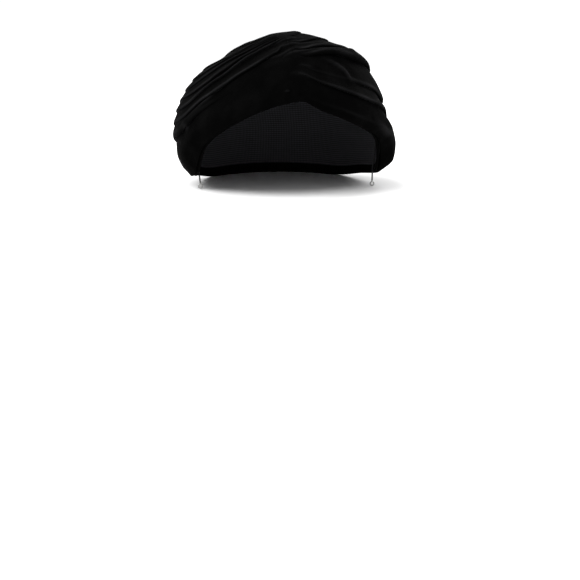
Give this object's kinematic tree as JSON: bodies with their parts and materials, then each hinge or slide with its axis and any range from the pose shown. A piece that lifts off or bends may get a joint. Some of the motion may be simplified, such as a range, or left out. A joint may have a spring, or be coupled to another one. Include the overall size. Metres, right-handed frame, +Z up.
{
  "type": "draped cocktail hat",
  "caption": "Brimless velvet cocktail hat: a fitted crown arched up over the face, covered by two pleated drapes sewn together at centre front, with wire grips at the ears.",
  "frame": {"origin": "on the floor under the middle of the hat's bounding box", "axes": "+Z up, the front of the hat faces -Y, and +X is the right side in the front view"},
  "size_m": [0.1762, 0.1946, 0.1218],
  "materials": {
    "crown_velvet": "matte woven back of black velvet",
    "drape_velvet": "black velvet pile",
    "grip_wire": "plain spring steel wire"
  },
  "bodies": {
    "root": {"crown": "crown_velvet", "left_drape": "drape_velvet", "right_drape": "drape_velvet", "left_wire_grip": "grip_wire", "right_wire_grip": "grip_wire"}
  },
  "joints": []
}
